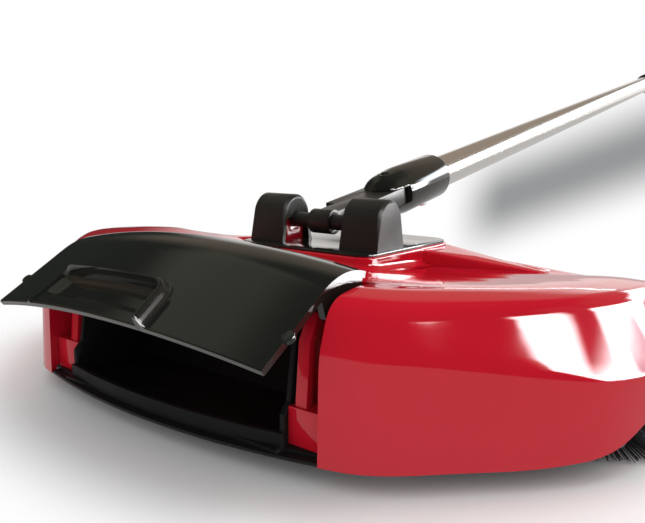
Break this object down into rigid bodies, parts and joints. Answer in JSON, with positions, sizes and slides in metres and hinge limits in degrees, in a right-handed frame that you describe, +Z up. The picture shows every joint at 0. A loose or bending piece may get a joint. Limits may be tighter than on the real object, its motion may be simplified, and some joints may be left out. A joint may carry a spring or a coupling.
{
  "type": "carpet sweeper",
  "caption": "Push-along carpet sweeper: two corner brushes and a roller geared to the wheels, swing-up dust door, and a long tube handle on a tilting, swivelling yoke",
  "frame": {"origin": "on the floor, on the head's middle plane, under the handle pivot", "axes": "X across the head, +Y towards the brush end, +Z up"},
  "size_m": [0.336, 1.1064, 0.2378],
  "materials": {
    "red_gloss": "glossy moulded red ABS",
    "black_gloss": "glossy moulded black ABS",
    "black_satin": "satin moulded black plastic",
    "black_chassis": "matt moulded black polypropylene",
    "tray_black": "satin moulded black plastic",
    "steel": "zinc plated steel",
    "polished_tube": "bright polished thin-walled aluminium tube",
    "nylon": "natural white nylon",
    "rubber": "black rubber",
    "bristle": "black nylon bristles",
    "grip_rubber": "soft black grip"
  },
  "bodies": {
    "housing": {"top_cover": "red_gloss", "base_frame": "black_chassis", "dust_tray": "tray_black", "door_post_left": "red_gloss", "door_post_right": "red_gloss", "trim_plate": "black_gloss", "pivot_saddles": "red_gloss", "saddle_screws": "steel", "pivot_cap_left": "black_satin", "pivot_cap_right": "black_satin", "cover_screws": "steel", "bearing_plate_left": "black_chassis", "bearing_plate_right": "black_chassis", "gear_cover": "black_chassis", "plate_spacers": "black_chassis", "axle_bushes": "nylon", "roller_bushes": "nylon", "idler_pin": "steel", "brush_bridge_left": "black_chassis", "brush_bridge_right": "black_chassis", "brush_spindles": "steel", "spindle_retainers": "steel"},
    "wheel_set": {"drive_axle": "steel", "wheel_left": "black_chassis", "wheel_right": "black_chassis", "tyre_left": "rubber", "tyre_right": "rubber", "axle_gear": "nylon"},
    "idler": {"idler_gear": "nylon"},
    "roller": {"roller_shaft": "steel", "roller_core": "black_chassis", "roller_bristles": "bristle", "roller_gear": "nylon", "pinion_left": "nylon", "pinion_right": "nylon"},
    "corner_brush_left": {"brush_hub_left": "nylon", "corner_bristles_left": "bristle"},
    "corner_brush_right": {"brush_hub_right": "nylon", "corner_bristles_right": "bristle"},
    "door": {"dust_door": "black_gloss"},
    "yoke_arm": {"yoke": "black_satin", "crossbar": "black_satin"},
    "handle": {"tube_socket": "black_gloss", "swivel_pin": "steel", "lower_tube": "polished_tube", "socket_screw": "steel", "tube_coupler": "black_satin", "coupler_screws": "steel", "upper_tube": "polished_tube", "grip": "grip_rubber"}
  },
  "joints": [
    {"name": "wheel_spin", "type": "hinge", "parent": "housing", "child": "wheel_set", "pos_m": [0, -0.046, 0.022], "axis": [1, 0, 0], "continuous": true},
    {"name": "idler_spin", "type": "hinge", "parent": "housing", "child": "idler", "pos_m": [0, -0.01293, 0.02989], "axis": [1, 0, 0], "continuous": true},
    {"name": "roller_spin", "type": "hinge", "parent": "housing", "child": "roller", "pos_m": [0, 0.012, 0.0225], "axis": [1, 0, 0], "continuous": true},
    {"name": "corner_brush_left_spin", "type": "hinge", "parent": "housing", "child": "corner_brush_left", "pos_m": [-0.12, 0.012, 0], "axis": [0, 0, 1], "continuous": true},
    {"name": "corner_brush_right_spin", "type": "hinge", "parent": "housing", "child": "corner_brush_right", "pos_m": [0.12, 0.012, 0], "axis": [0, 0, 1], "continuous": true},
    {"name": "door_hinge", "type": "hinge", "parent": "housing", "child": "door", "pos_m": [0, -0.07935, 0.0495], "axis": [1, 0, 0], "range_deg": [-16, 53.5]},
    {"name": "handle_tilt", "type": "hinge", "parent": "housing", "child": "yoke_arm", "pos_m": [0, 0.002, 0.0705], "axis": [1, 0, 0], "range_deg": [-6, 140]},
    {"name": "handle_swivel", "type": "hinge", "parent": "yoke_arm", "child": "handle", "pos_m": [0, 0.05925, 0.07977], "axis": [0, -0.1599, 0.9871], "range_deg": [-50, 50]}
  ],
  "couplings": [
    {"joint": "idler_spin", "follows": "wheel_spin", "ratio": -1},
    {"joint": "roller_spin", "follows": "wheel_spin", "ratio": 1.8889},
    {"joint": "corner_brush_left_spin", "follows": "wheel_spin", "ratio": 0.94444},
    {"joint": "corner_brush_right_spin", "follows": "wheel_spin", "ratio": -0.94444}
  ]
}
